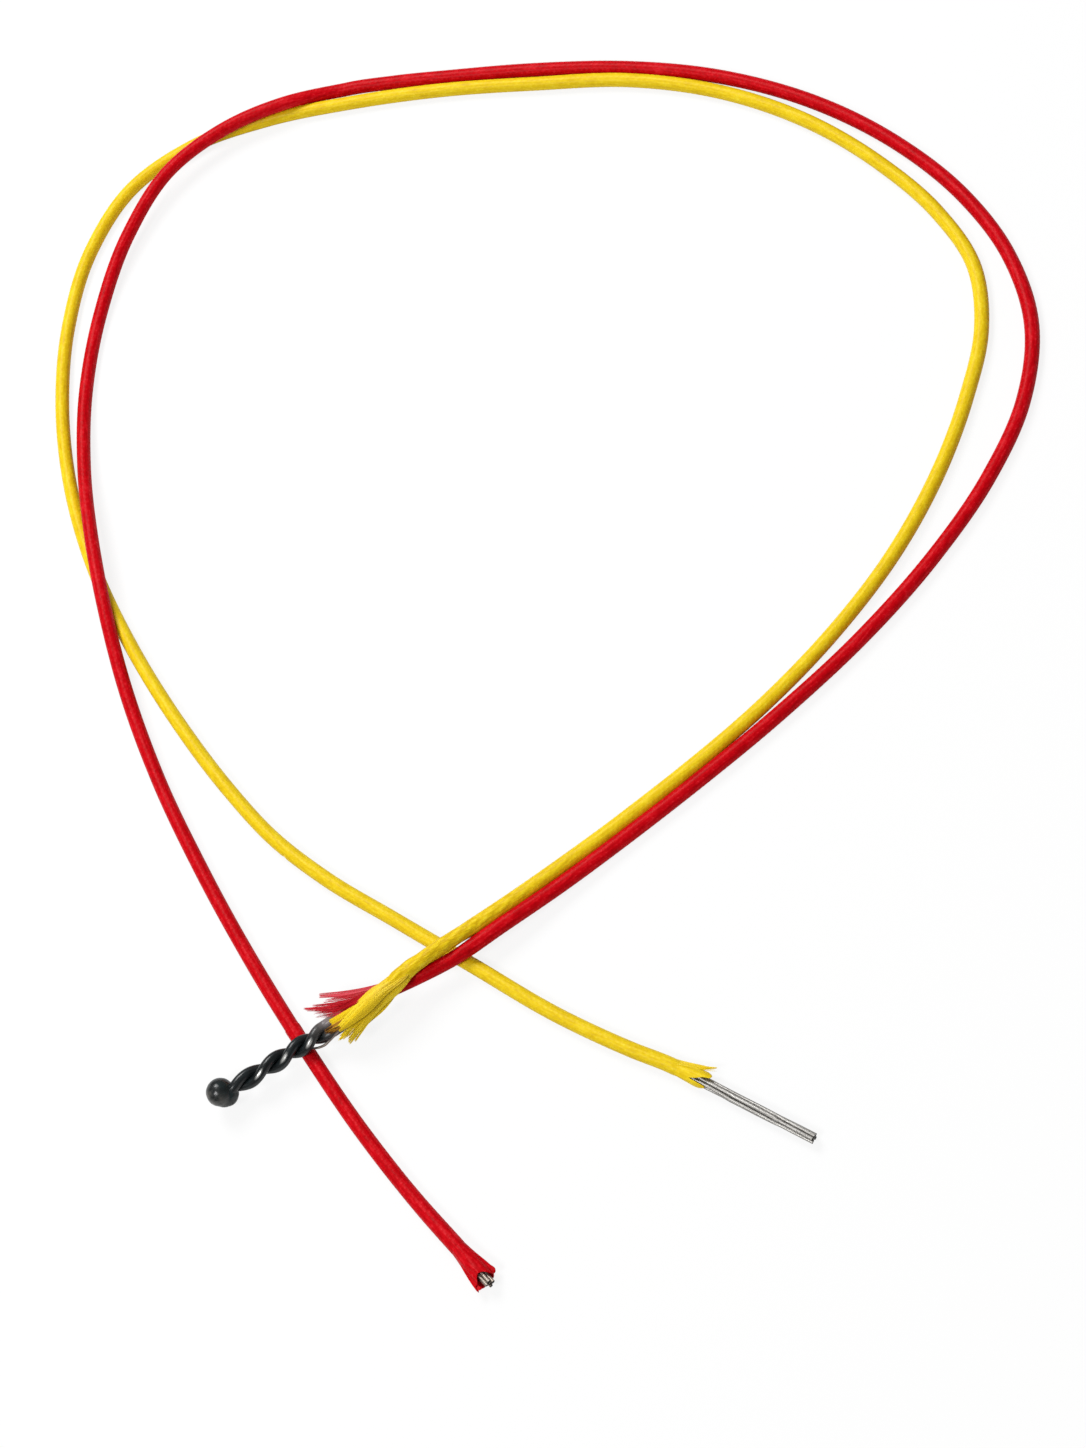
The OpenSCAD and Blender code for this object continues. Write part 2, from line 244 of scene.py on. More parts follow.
def on_curve(points, shares):
    """Points at shares from 0 to 1 of a smooth curve through the given points."""
    points = np.array(points, float)
    along = run_along(points)
    slope = np.gradient(points, along, axis=0)
    spot = np.asarray(shares) * along[-1]
    i = np.clip(np.searchsorted(along, spot, side="right") - 1, 0, len(points) - 2)
    reach = (along[i + 1] - along[i])[:, None]
    t = (spot - along[i])[:, None] / reach
    return bend(t, reach, points[i], slope[i], points[i + 1], slope[i + 1])


def unit(vector):
    return np.array(vector, float) / np.linalg.norm(vector)


def frames(line):
    """Side and upper direction at each point of a line that lies nearly level."""
    heading = np.gradient(line, axis=0)
    heading /= np.linalg.norm(heading, axis=1)[:, None]
    side = np.cross(heading, (0, 0, 1))
    side /= np.linalg.norm(side, axis=1)[:, None]
    return side, np.cross(side, heading)

# %% Braided tube
BRAID_PERIOD = 0.57     # mm of lead in which a yarn passes over and under once
BRAID_YARNS = 6
TUBE_SIDES = 24
RINGS_PER_PERIOD = 6
TUBE_R = 0.69
GRAIN = 0.005           # how far a yarn stands proud at a crossing, in mm


def grain_height(u, v):
    """Height of the weave, from -1 in a hole to 1 on a yarn, long along the yarn on top."""
    top = np.cos(2 * np.pi * u)
    return top * np.cos(2 * np.pi * v) - 0.45 * top * np.sin(2 * np.pi * u) * np.sin(2 * np.pi * v)


def braided_tube(name, points, swell):
    """A closed tube along the route; swell(s, angle) is added to its radius."""
    line, length = smooth_line(points, BRAID_PERIOD / RINGS_PER_PERIOD)
    side, over = frames(line)
    rows = len(line)
    s = np.linspace(0, length, rows)[:, None]
    angle = (2 * np.pi * np.arange(TUBE_SIDES) / TUBE_SIDES)[None, :]
    u = s / BRAID_PERIOD
    v = BRAID_YARNS * angle / (2 * np.pi)
    radius = TUBE_R + GRAIN * grain_height(u, v) + swell(s, angle)
    rings = line[:, None] + radius[..., None] * (np.cos(angle)[..., None] * side[:, None]
                                                 + np.sin(angle)[..., None] * over[:, None])
    rings[..., 2] = np.maximum(rings[..., 2], BENCH)
    corner = np.arange(rows * TUBE_SIDES).reshape(rows, TUBE_SIDES)
    after = np.roll(corner, -1, axis=1)
    walls = np.stack([corner[:-1], corner[1:], after[1:], after[:-1]], axis=-1).reshape(-1, 4)
    ends = [list(corner[0]), list(corner[-1][::-1])]
    mesh = bpy.data.meshes.new(name)
    mesh.from_pydata((rings.reshape(-1, 3) * MM).tolist(), [], walls.tolist() + ends)
    turns = np.arange(TUBE_SIDES + 1) * BRAID_YARNS / TUBE_SIDES
    row, col = np.divmod(np.arange(len(walls)), TUBE_SIDES)
    quads = np.stack([np.stack([u[row + i, 0], turns[col + j]], -1)
                      for i, j in ((0, 0), (1, 0), (1, 1), (0, 1))], 1)
    flat = np.zeros(len(mesh.loops) * 2)
    flat[:quads.size] = quads.reshape(-1)
    mesh.uv_layers.new(name="braid").data.foreach_set("uv", flat)
    mesh.polygons.foreach_set("use_smooth", [True] * len(walls) + [False, False])
    mesh.update()
    piece = bpy.data.objects.new(name, mesh)
    bpy.context.collection.objects.link(piece)
    print(name, "length %.1f mm" % length, "faces", len(mesh.polygons))
    return piece, line, length

# %% [markdown]
# ## What swells and narrows the leads
# A real sleeve isn't even. Where the two leads leave the hot end they are slack, twisted and
# pressed together, further on one has a nick and the other was pushed back over itself, and each
# runs into its opened end. These are added to the tube's radius, because a sculpted change would
# be lost when the tube is drawn again. s is the distance along the lead from the hot end, in mm.

# %% Swells
SLACK_RUN = 10
SLIT_AT = 6.6
LEAN_FROM, LEAN_TO = 8, 40
YELLOW_NICK_AT, RED_PUSH_AT = 274.17, 293.7


def hump(s, place, width):
    return np.exp(-((s - place) / width) ** 2)


def ease(value, first, last):
    """0 before first, 1 after last, and a smooth change between."""
    share = np.clip((value - first) / (last - first), 0, 1)
    return share * share * (3 - 2 * share)


def leaning(s, angle, towards):
    """Past a slit between them the leads lean on each other, each pressed towards the other."""
    depth = (0.03 + 0.036 * hump(s, 14.5, 4)) * ease(s, LEAN_FROM, 9.6) * (1 - ease(s, 34, LEAN_TO))
    return (depth - 0.05 * hump(s, SLIT_AT, 1.3)) * np.clip(np.cos(angle - towards), 0, 1)


def yellow_swell(s, angle):
    """The start is slack, flattened and twisted, and runs in under its own frayed yarns."""
    slack = np.clip(1 - s / SLACK_RUN, 0, 1) ** 0.6
    flat = 0.06 * np.cos(2 * (angle - 1.1 - s * 0.75)) + 0.035 * np.cos(3 * angle + s * 2.1) * np.sin(s * 1.9)
    flat = flat + 0.03 * np.cos(5 * angle - s * 1.3 + 1.5 * np.sin(s * 0.9)) * np.sin(s * 1.4 + 0.6)
    nick = -0.1 * hump(s, YELLOW_NICK_AT, 0.14) * np.clip(np.cos(angle + 0.35), 0, 1) ** 3
    ends = -0.25 * (1 - ease(s, 0, 1.0)) - 0.07 * ease(s, 316.7, 317.6)
    swell = slack * (0.03 + flat) + leaning(s, angle, -0.1) + ends + nick
    return swell + 0.006 * np.sin(s / 3.1 + 2 * angle)


def red_swell(s, angle):
    """The sleeve has been pushed back over itself once, and widens into its flared end."""
    push = (0.05 * ease(s, RED_PUSH_AT, RED_PUSH_AT + 0.12)
            * (1 - ease(s, RED_PUSH_AT + 0.3, RED_PUSH_AT + 2.5)))
    ends = 0.05 * ease(s, 311, 318.5) - 0.16 * ease(s, 319.6, 320.6)
    return push + ends + leaning(s, angle, 2.9) + 0.006 * np.sin(s / 2.7 + 2 * angle)


yellow_lead, yellow_line, yellow_length = braided_tube("yellow_braided_lead", YELLOW_POINTS, yellow_swell)
red_lead, red_line, red_length = braided_tube("red_braided_lead", RED_POINTS, red_swell)
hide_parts("yellow_sleeve")
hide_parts("red_sleeve")

# %% [markdown]
# ## The braid's finish
# Glass yarn soaked in coloured varnish: saturated colour, with painted shade in the holes between
# yarns and a painted highlight on their crests, and a soft shine. The yarn that is on top changes
# from one column of the weave to the next, so the filament lines are counted across whichever yarn
# lies on top. Near the hot end the sleeves are slack: long creases run along them, painted darker as
# shade, and the yarns of one lay stand out as slanted bands.

# %% Braid finish
FILAMENTS = 4               # lines drawn on each yarn
SLACK_U = (42.0, 10.0)      # repeats of the weave between which the slack sets in
CREASE_SHADE, CREASE_DEPTH = -0.32, -2.4
BAND_SHADE, BAND_DEPTH = 0.13, 1.2


def braid_finish(name, shade, body, crest, shine, slackness):
    """Three tones from the painted shade in the holes to the painted highlight on the crests, the shine, and
    how far the slack shows.
    """
    finish, shader = new_finish(name)
    chart = put("UVMap", uv_map="braid")
    u, v = put("SeparateXYZ", {0: chart}).node.outputs[:2]
    turn_u = times(u, 2 * math.pi)
    turn_v = times(v, 2 * math.pi)
    top = calc("COSINE", turn_u)
    height = times(top, calc("COSINE", turn_v))
    slant = times(calc("SINE", turn_u), calc("SINE", turn_v))
    height = calc("SUBTRACT", height, times(times(slant, top), 0.6))
    crest_highlights = calc("POWER", calc("MAXIMUM", height, 0.0), 3.0)
    one_way, other_way = (
        calc("SINE", times(calc(across, u, v), 2 * math.pi * FILAMENTS))
        for across in ("ADD", "SUBTRACT"))
    filament = put("Mix", {0: calc("GREATER_THAN", top, 0.0), 2: other_way, 3: one_way})
    streaks = noise(put("Mapping", {0: chart, 3: (0.32, 2.2, 1.0)}), 1.6, 3.0)
    coords = object_coords()
    patches = noise(coords, 420.0, 3.0)
    grains = noise(coords, 2600.0)
    folds = noise(put("Mapping", {0: coords, 3: (300.0, 1900.0, 1900.0)}), 1.0)
    slack = remap(u, *SLACK_U, slackness)
    off_fold = calc("ABSOLUTE", calc("SUBTRACT", folds, 0.5))
    creases = times(remap(off_fold, 0.09, 0.0), slack)
    slanted = calc("SUBTRACT", v, times(u, 0.285))
    bands = scaled(slanted, 2 * math.pi, times(patches, 7.0))
    bands = times(calc("SINE", bands), slack)
    # Shade is painted into the holes and along the creases, and a highlight onto the crests; patches, grains,
    # streaks and bands vary the tone.
    level = scaled(crest_highlights, scaled(streaks, 0.6, -0.2), 0.22)
    for part, share in ((patches, 0.34), (grains, 0.16), (creases, CREASE_SHADE), (bands, BAND_SHADE),
                        (calc("SUBTRACT", streaks, 0.5), 0.75)):
        level = scaled(part, share, level)
    relief = scaled(filament, 0.05, times(height, streaks))
    relief = scaled(creases, CREASE_DEPTH, relief)
    relief = scaled(bands, BAND_DEPTH, relief)
    fill(shader, {
        "Base Color": ramp(level, [(0.25, shade), (0.5, body), (0.85, crest)]),
        "Normal": relief_of(relief, 0.4, 0.02),
        "Roughness": scaled(grains, 0.2, 0.3),
        "Specular IOR Level": shine})
    return finish


# Each finish's three tones: painted shade in the holes, body colour, painted highlight on the crests.
yellow_braid = braid_finish("yellow_braid_finish", "CCA80E", "DEBE12", "EAD434", 0.1, 1.0)
red_braid = braid_finish("red_braid_finish", "9E0007", "BC000D", "DA242E", 0.06, 0.35)
dress(yellow_lead, yellow_braid)
dress(red_lead, red_braid)

# %% [markdown]
# ## Drawing round wires
# Legs, strands and loose yarns are all round wires that follow a line. By hand one draws a curve,
# gives it a round bevel and turns it to a mesh, and `wires` does the same with Blender's own
# operators. A last ring of no width closes each end flat. All of this is drawn in millimetres and
# brought down to metres at the end. A wire can carry tints, a number a point that its finish reads.

# %% Wire helper
END_CAP = 0.001         # the closing ring's distance, as a share of the line's last step
MERGE = 0.0001          # mm within which two points become one


def to_metres(piece):
    """Brings a piece drawn in millimetres down to metres, its object at the origin and unscaled."""
    deselect()
    piece.select_set(True)
    bpy.context.view_layer.objects.active = piece
    piece.location = piece.location * MM
    piece.scale = (MM, MM, MM)
    bpy.ops.object.transform_apply(location=True, rotation=True, scale=True)
    print(piece.name, "faces", len(piece.data.polygons))


def face_outwards(merge=False):
    """Turns the active piece's faces outwards, after its double points are merged where asked."""
    bpy.ops.object.mode_set(mode="EDIT")
    bpy.ops.mesh.select_all(action="SELECT")
    if merge:
        bpy.ops.mesh.remove_doubles(threshold=MERGE)
    bpy.ops.mesh.normals_make_consistent(inside=False)
    bpy.ops.object.mode_set(mode="OBJECT")


def mark_points(piece, name, values):
    piece.data.attributes.new(name, "FLOAT", "POINT").data.foreach_set("value", values)


def wires(name, ways, roundness, tints=None):
    """One mesh of round wires. Each way is its points and its radii, in millimetres."""
    deselect()
    bpy.ops.curve.primitive_nurbs_path_add(location=(0, 0, 0))
    drawing = bpy.context.object.data
    drawing.splines.clear()
    drawing.dimensions = "3D"
    for points, radii in ways:
        points = np.array(points, float)
        first, final = points[1] - points[0], points[-1] - points[-2]
        points = np.vstack([points[0] - first * END_CAP, points, points[-1] + final * END_CAP])
        spline = drawing.splines.new("POLY")
        spline.points.add(len(points) - 1)
        for knot, place, radius in zip(spline.points, points, [0, *radii, 0]):
            knot.co = (*place, 1)
            knot.radius = radius
    drawing.fill_mode = "FULL"
    drawing.bevel_depth = 1.0
    drawing.bevel_resolution = roundness
    bpy.ops.object.convert(target="MESH")
    piece = bpy.context.object
    piece.name = piece.data.name = name
    if tints is not None:
        sides = len(piece.data.vertices) // sum(len(points) + 2 for points, _ in ways)
        values = np.repeat(np.concatenate([[own[0], *own, own[-1]] for own in tints]), sides)
        mark_points(piece, "tint", values)
    face_outwards(merge=True)
    bpy.ops.object.shade_smooth_by_angle(angle=math.radians(50))
    to_metres(piece)
    return piece

# %% [markdown]
# ## The twisted legs
# Two stiff wires are wound round each other left-handed, tighter towards the sleeves, and bend
# apart into their own sleeves. The same formula as in the part's source gives their lines, drawn
# here with finer steps so that the highlights run smoothly along them. Each point of a leg also
# keeps its place round and along the wire, for the drawn grain, and a mark for its painted glint.

# %% Legs
LEG_D = 0.94
HELIX_R = 0.457
TWIST_START, TWIST_LENGTH = 1.6, 10.8
FIRST_CROSSING = 1.9
LOOSE_PITCH, TIGHT_PITCH = 3.6, 2.2
TWIST_SIDE = -0.3           # y of the twist's axis beside the ball, before it bends back
ROOT_HEADING = (0.6, 0, 0.5)
GRAIN_STRETCH = 0.12        # how slowly the grain changes along the wire, against round it


def crossings(x):
    return x / LOOSE_PITCH + (1 / TIGHT_PITCH - 1 / LOOSE_PITCH) * x * x / (2 * TWIST_LENGTH)


def leg_point(x, on_top):
    turn = math.radians((90 if on_top else 270) - 180 * (crossings(x) - crossings(FIRST_CROSSING)))
    aside = TWIST_SIDE * (1 - (x / TWIST_LENGTH) ** 2)
    return np.array([x, aside + HELIX_R * math.cos(turn), HELIX_R * math.sin(turn)])


def leg_line(on_top, route, bow, root):
    """Out of the weld, round the twist, and apart into the sleeve, bowed by so much on the way."""
    twisted = np.array([leg_point(x, on_top) for x in np.linspace(TWIST_START, TWIST_LENGTH, 90)])
    t = np.linspace(0, 1, 10)[:-1, None]
    melted = bend(t, 1.0, np.array(root), unit(ROOT_HEADING), twisted[0], unit(twisted[1] - twisted[0]))
    start, finish = twisted[-1], np.array(route[0]) + (0, 0, BENCH)
    t = np.linspace(0, 1, 40)[1:, None]
    parted = bend(t, 0.6 * np.linalg.norm(finish - start), start, unit(twisted[-1] - twisted[-2]),
                  finish, unit(np.array(route[1]) - route[0]))
    return np.vstack([melted, twisted, parted + np.sin(np.pi * t) ** 2 * np.array(bow)])


def mark_leg(leg, line, glints, cooler):
    """Each point's place in the drawn grain, its reach, and how strongly a painted glint lies on it.

    A glint is its x, the way it faces, and its size along and round the wire, in mm and degrees.
    """
    side, over = frames(line)
    run = run_along(line)
    places = np.array([point.co for point in leg.data.vertices]) / MM
    near = np.argmin(np.linalg.norm(places[:, None] - line[None], axis=2), axis=1)
    away = places - line[near]
    away /= np.maximum(np.linalg.norm(away, axis=1), 1e-6)[:, None]
    grain = np.column_stack([(away * side[near]).sum(1), (away * over[near]).sum(1),
                             run[near] * GRAIN_STRETCH])
    # Each glint is a painted highlight: a pale patch laid on the wire where a highlight falls.
    bare = np.zeros(len(places))
    for x, facing, long, wide in glints:
        middle = run[np.argmin(np.abs(line[:, 0] - x))]
        off = np.degrees(np.arccos(np.clip((away * unit(facing)).sum(1), -1, 1)))
        bare = np.maximum(bare, np.exp(-((run[near] - middle) / long) ** 2 - (off / wide) ** 2))
    leg.data.attributes.new("grain", "FLOAT_VECTOR", "POINT").data.foreach_set("vector", grain.reshape(-1))
    mark_points(leg, "reach", places[:, 0] - cooler)
    mark_points(leg, "bare", bare)


legs = []
for name, on_top, route, bow, root, glints, cooler in (
        ("positive_twisted_leg", False, YELLOW_POINTS, (0, 0.12, 0.3), (0.5, -0.1, -0.3),
         [(4.15, (-0.19, -0.35, 0.91), 0.5, 15), (9.4, (-0.06, -0.47, 0.88), 0.45, 18)], 0.0),
        ("negative_twisted_leg", True, RED_POINTS, (0, -0.12, -0.3), (0.6, -0.7, -0.3),
         [(6.85, (-0.28, -0.19, 0.94), 0.48, 17), (7.8, (-0.28, -0.25, 0.92), 0.16, 12)], 1.0)):
    line = leg_line(on_top, route, bow, root)
    leg = wires(name, [(line, [LEG_D / 2] * len(line))], roundness=8)
    mark_leg(leg, line, glints, cooler)
    legs.append(leg)
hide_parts("positive_leg")
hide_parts("negative_leg")

# %% [markdown]
# ## The weld bead
# Both wires were melted into one drop of metal. It set as a ball, and a slumped shoulder runs
# under it to the legs with a soft crease between the two. Spheres from the ball down to the legs
# are joined, skinned as one lump by a voxel remesh, smoothed, and dimpled by a noise displacement.

# %% Weld bead
deselect()
drops = []
for radius, place in ((1.27, (0.16, -0.1, 0.12)), (1.2, (0.3, -0.26, -0.24)), (1.04, (0.52, -0.46, -0.32)),
                      (0.82, (0.86, -0.56, -0.12)), (0.6, (1.22, -0.46, 0.16))):
    bpy.ops.mesh.primitive_uv_sphere_add(segments=48, ring_count=24, radius=radius, location=place)
    drops.append(bpy.context.object)
for drop in drops:
    drop.select_set(True)
bead = drops[0]
bpy.context.view_layer.objects.active = bead
bpy.ops.object.join()
bead.name = "weld_ball"
skin = bead.modifiers.new("skin", "REMESH")
skin.mode = "VOXEL"
skin.voxel_size = 0.06
soften = bead.modifiers.new("soften", "SMOOTH")
soften.factor = 0.5
soften.iterations = 12
dimples = bpy.data.textures.new("dimples", "CLOUDS")
dimples.noise_scale = 0.9
dent = bead.modifiers.new("dent", "DISPLACE")
dent.texture = dimples
dent.texture_coords = "LOCAL"
dent.strength = 0.06
dent.mid_level = 0.5
for change in ("skin", "soften", "dent"):
    bpy.ops.object.modifier_apply(modifier=change)
bpy.ops.object.shade_smooth()
to_metres(bead)
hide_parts("weld_bead")

# %% [markdown]
# ## The loose wire
# One fine wire has sprung out beside the twist and runs up into the frayed yellow end. It is drawn
# through the places where the picture shows it, and is a little thicker in its middle.

# %% Loose wire
LOOSE_STEPS = 40
loose_points = [(313, 1048.6, 1.3), (320, 1047.2, 1.4), (325.3, 1044.6, 1.55), (329.6, 1040.4, 1.75),
                (333, 1037, 2.0), (336.5, 1033.2, 2.3), (340.5, 1027.5, 2.75)]
loose_line = on_curve([at(*p) for p in loose_points], np.linspace(0, 1, LOOSE_STEPS))
loose_radii = 0.1 + 0.025 * np.sin(np.linspace(0, 3.1, LOOSE_STEPS))
loose_wire = wires("loose_fine_wire", [(loose_line, loose_radii)], roundness=3)
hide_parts("loose_hot_wire")

# %% [markdown]
# ## The oxidised wire's finish
# Kiln heat leaves a hard blue-black scale on the alloy. On the legs it follows the drawn grain in
# faint lines, and a few bright places between the turns are painted glints in a pale metal colour.
# Nearer the sleeves the wire stayed cooler and is grey, then brown. The ball turns a mottled, paler
# grey towards its outer side. The three finishes start from one scale and add what is their own.

# %% Oxide finish
def scale_finish(name, dark, pale, rough):
    """The scale itself, with what the finishes below add to."""
    finish, shader = new_finish(name)
    coords = object_coords()
    cloud = noise(coords, 1100.0, 4.0, 0.6)
    fill(shader, {"Roughness": scaled(noise(coords, 6000.0, 3.0), 0.2, rough),
                  "Specular IOR Level": 0.35})
    return finish, shader, coords, cloud, ramp(cloud, [(0.3, dark), (0.75, pale)])


oxide, shader, _, cloud, colour = scale_finish("oxide_finish", "030405", "12191B", 0.22)
drawn = noise(put("Attribute", out=1, attribute_name="grain"), 4.0, 4.0)
reach, bare = (put("Attribute", out=2, attribute_name=mark) for mark in ("reach", "bare"))
colour = laid_over(colour, remap(drawn, 0.5, 0.75, 0.6), "303A3D")
uneven = calc("ADD", cloud, 0.4)
for first, last, tone in ((9.5, 11.2, "5F5B59"), (10.6, 11.7, "8C8486"), (11.3, 12.2, "6A4423")):
    warmth = remap(reach, first, last, 0.85)
    colour = laid_over(colour, times(warmth, uneven), tone)
# The painted glint: a pale metal colour and some metallic, broken by the drawn grain.
bare = times(bare, times(drawn, 2.2))
bare = remap(bare, 0.1, 1.1)
fill(shader, {"Base Color": laid_over(colour, bare, "DADAD6"),
              "Metallic": times(bare, 0.5),
              "Normal": relief_of(drawn, 0.3, 0.02)})

ball_scale, shader, coords, cloud, colour = scale_finish("ball_scale_finish", "06090A", "1A282A", 0.18)
# The ball's outer side, towards the lower left, is laid over with a mottled, paler grey.
outer = put("VectorMath", {0: coords, 1: (-0.83, -0.27, 0.2)}, out=1, operation="DOT_PRODUCT")
outer = remap(outer, -0.3 * MM, 0.6 * MM)
outer_grey = times(outer, remap(cloud, 0.35, 0.62))
fill(shader, {"Base Color": laid_over(colour, outer_grey, "4E4B47"),
              "Normal": relief_of(cloud, 0.4, 0.04)})

scorched, shader, *_, colour = scale_finish("scorched_wire_finish", "6A5B4E", "B7B1AB", 0.22)
fill(shader, {"Base Color": colour, "Metallic": 0.5})

for leg in legs:
    dress(leg, oxide)
dress(bead, ball_scale)
dress(loose_wire, scorched)

# %% [markdown]
# ## Locks of frayed yarn
# Cut glass braid comes undone: its yarns lie side by side in flat locks, which fold over the legs
# and fan out at their tips. A hair system could grow them, but these folds are particular ones, so
# each lock is drawn between two guide lines from its root to its tip. The guides are taken where
# the picture shows them, with a height above the bench for each point.

# %% Lock helper
chance = np.random.default_rng(41)
LOCK_STEPS = 14
LEAD_START = 90         # points of the yellow lead's line, 8.5 mm of it, that its yarns may start from
CLUMPING = 0.7          # how far a yarn is drawn to the middle of its clump at the tip


def lock(left, right, count, fray=0.1, crown=0.0, thick=0.034, taper=0.5, wander=0.02, tint=0.5, clumps=0,
         root=0.0, sink=0.0, pale_tip=0.0):
    """Ways and tints of the yarns that lie between two guides of picture points.

    A yarn starts by about root, a share of the guides. With a sink it starts that deep in the
    yellow lead and comes out of its surface over the next third.
    """
    shares = np.linspace(0, 1, LOCK_STEPS)
    left = on_curve([at(*p) for p in left], shares)
    right = on_curve([at(*p) for p in right], shares)
    cut = chance.random(max(clumps, 1))
    ways, tints = [], []
    for i in range(count):
        share = np.clip((i + chance.uniform(-0.5, 0.5)) / max(count - 1, 1), 0, 1)
        gathered, length = np.full(LOCK_STEPS, share), chance.random() ** 1.5
        if clumps:
            number = min(int(share * clumps), clumps - 1)
            gathered = share + ((number + 0.5) / clumps - share) * CLUMPING * shares**3
            length = 0.5 * length + 0.5 * cut[number]
        line = left + (right - left) * gathered[:, None]
        first = root * (0.6 + 0.8 * chance.random())
        line = on_curve(line, first + shares * (1 - fray * length - first))
        line += chance.normal(0, wander, 3) * shares[:, None] ** 3
        line[:, 2] += crown * 4 * share * (1 - share) * ease(shares, 0, 0.4) + chance.uniform(-0.015, 0.015)
        if sink:
            gap = line[:, None] - yellow_line[None, :LEAD_START]
            axis = yellow_line[np.argmin((gap ** 2).sum(2), axis=1)]
            inwards = (axis - line) / np.linalg.norm(axis - line, axis=1)[:, None]
            line += inwards * (sink * (0.6 + 0.8 * chance.random()) * (1 - ease(shares, 0, 0.3)))[:, None]
        ways.append((line, thick * (1 - taper * shares**2) * (0.4 + 0.6 * ease(shares, 0, 0.15))))
        own = tint + 0.1 * math.sin(share * 9 + tint * 20) + chance.uniform(-0.1, 0.1)
        tints.append(own + pale_tip * shares**3)
    return ways, tints


def tuft(name, locks):
    ways, tints = [], []
    for each in locks:
        more_ways, more_tints = lock(**each)
        ways += more_ways
        tints += more_tints
    return wires(name, ways, roundness=1, tints=tints)

# %% [markdown]
# ## The frayed yellow end
# The sleeve is slit open here and lies as a flattened, twice folded band over the legs: a tongue
# on the left that still holds a leg, a fold painted paler as a highlight, a leaf-shaped fold on top,
# and the loose fringe that hangs down to the right. Their yarns begin a little way up the lead, just
# inside it, and come out through its surface, so that the braid passes into them without a step. At
# the mouth, beside the hot wire, some are singed.

# %% Frayed yellow end
rooted = dict(root=0.16, sink=0.12)
yellow_tuft = tuft("yellow_frayed_yarns", [
    dict(left=[(410, 958, 3.2), (393, 973.5, 3.5), (383, 983, 3.6), (372, 993, 3.6), (360, 1004, 3.3)],
         right=[(420, 968.5, 3.2), (404.5, 985.5, 3.4), (396, 994, 3.3), (385, 1004, 3.2), (374, 1014, 2.9)],
         count=70, crown=0.5, wander=0, root=0.2, sink=0.12),
    dict(left=[(410, 958, 3.15), (392, 972.5, 3.45), (380, 983, 3.5), (369, 990, 3.6), (361, 998, 3.6),
               (350, 1007.5, 3.4), (338, 1015, 3.0), (328.7, 1020.3, 2.75)],
         right=[(413, 961, 3.72), (395.6, 976.3, 4.05), (384, 986, 4.1), (372, 996, 4.0), (362, 1004, 3.75),
                (352, 1011.5, 3.45), (342, 1019, 3.15), (332, 1026, 2.85)],
         count=50, fray=0.03, wander=0.01, crown=0.08, **rooted),
    # The pale fold: its yarns get a paler tint, a painted highlight along the fold.
    dict(left=[(412.5, 960.5, 3.7), (395, 975.5, 4.02), (383, 985, 4.15), (371, 993, 4.15),
               (361, 1000.5, 4.1), (352, 1009, 3.9), (345, 1017, 3.6), (338, 1025.5, 3.2)],
         right=[(414, 962, 3.76), (397, 977.5, 4.07), (386.5, 988.5, 4.2), (376, 999, 4.2),
                (365.2, 1007, 4.15), (355.7, 1014.5, 4.0), (348.5, 1021, 3.7), (341.5, 1028, 3.2)],
         count=28, fray=0.03, wander=0.01, crown=0.1, tint=0.75, **rooted),
    dict(left=[(413, 961, 3.74), (396.5, 977, 4.05), (386, 984, 4.25), (376, 991, 4.35), (365.5, 1002, 4.3),
               (356, 1013, 4.1), (347, 1022, 3.7), (339.5, 1031, 3.2)],
         right=[(417.6, 966, 3.64), (402, 983, 3.95), (392, 990, 4.05), (381, 1000, 4.0), (372, 1010, 3.85),
                (362, 1018, 3.65), (351, 1025.5, 3.4), (340, 1031.8, 3.1)],
         count=70, fray=0.02, wander=0.008, crown=0.22, **rooted),
    dict(left=[(416.6, 965, 3.68), (400.8, 981.7, 3.95), (390, 990, 3.9), (376, 1003, 3.6), (364, 1014, 3.3),
               (352, 1023.5, 2.9), (343, 1032, 2.5), (334.5, 1041, 2.1)],
         right=[(420, 968.5, 3.2), (405, 986, 3.4), (398, 993.5, 3.3), (387.5, 1001.5, 3.2),
                (375.5, 1013.7, 2.9), (366, 1024, 2.6), (357, 1035, 2.25), (352, 1043, 2.0)],
         count=120, fray=0.12, wander=0.03, crown=0.1, tint=0.62, clumps=8, **rooted),
    dict(left=[(418.6, 967, 3.5), (402.6, 983.6, 3.75), (393, 993, 3.6), (381, 1006, 3.3), (369, 1019, 2.9),
               (358, 1032, 2.4), (350, 1041, 2.0), (345.5, 1046, 1.9)],
         right=[(420, 969, 3.15), (405.5, 987, 3.3), (399, 993.5, 3.2), (388.5, 1002, 3.1),
                (376.5, 1014, 2.8), (370, 1022, 2.5), (363, 1032, 2.2), (357, 1041, 1.9)],
         count=30, fray=0.06, wander=0.03, tint=0.65, clumps=4, **rooted),
    dict(left=[(390, 992, 2.9), (370, 1010, 2.7), (356, 1022, 2.3), (346, 1032, 1.9), (338, 1041, 1.6)],
         right=[(397, 994, 3.0), (384, 1010, 2.7), (370, 1022, 2.3), (358, 1033, 1.9), (351, 1042, 1.6)],
         count=60, fray=0.15, wander=0.05, crown=0.2, clumps=5)])
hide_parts("yellow_frayed_end")

